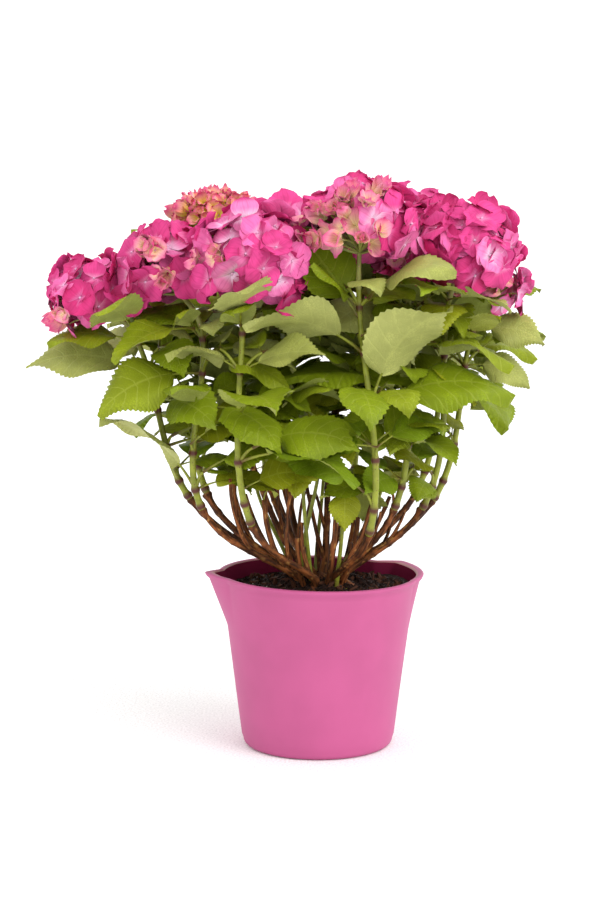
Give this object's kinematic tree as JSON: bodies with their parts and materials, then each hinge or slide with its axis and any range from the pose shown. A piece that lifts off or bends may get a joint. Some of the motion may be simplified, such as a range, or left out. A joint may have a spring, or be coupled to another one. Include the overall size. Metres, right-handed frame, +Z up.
{
  "type": "potted hydrangea shrub",
  "caption": "Rounded flowering shrub with pink mophead flower heads on leafy shoots over fanned brown canes, planted in a tapered round pot with a pulled-out lip.",
  "frame": {"origin": "centre of the pot's flat underside", "axes": "+Z up along the pot's axis, -Y towards the front of the plant, +X to its right seen from the front"},
  "size_m": [0.4543, 0.3927, 0.5061],
  "materials": {
    "pot": "smooth matte pink, slightly uneven",
    "potting_soil": "moist dark crumbly compost",
    "bark": "reddish brown peeling bark",
    "foliage": "mid green leaves with paler undersides, soft sheen",
    "blossom": "soft matte deep pink petals"
  },
  "bodies": {
    "root": {"pot": "pot", "soil": "potting_soil", "woody_crown": "bark", "cane_1": "bark", "cane_2": "bark", "cane_3": "bark", "cane_4": "bark", "cane_5": "bark", "cane_6": "bark", "cane_7": "bark", "cane_8": "bark", "cane_9": "bark", "cane_10": "bark", "cane_11": "bark", "cane_12": "bark", "cane_13": "bark", "cane_14": "bark", "leafy_shoot_1": "foliage", "leafy_shoot_2": "foliage", "leafy_shoot_3": "foliage", "leafy_shoot_4": "foliage", "leafy_shoot_5": "foliage", "leafy_shoot_6": "foliage", "leafy_shoot_7": "foliage", "leafy_shoot_8": "foliage", "leafy_shoot_9": "foliage", "leafy_shoot_10": "foliage", "leafy_shoot_11": "foliage", "leafy_shoot_12": "foliage", "leafy_shoot_13": "foliage", "leafy_shoot_14": "foliage", "flower_head_1": "blossom", "flower_head_2": "blossom", "flower_head_3": "blossom", "flower_head_4": "blossom", "flower_head_5": "blossom", "flower_head_6": "blossom", "flower_head_7": "blossom", "flower_head_8": "blossom", "flower_head_9": "blossom", "flower_head_10": "blossom", "flower_head_11": "blossom", "flower_head_12": "blossom", "flower_head_13": "blossom"}
  },
  "joints": []
}
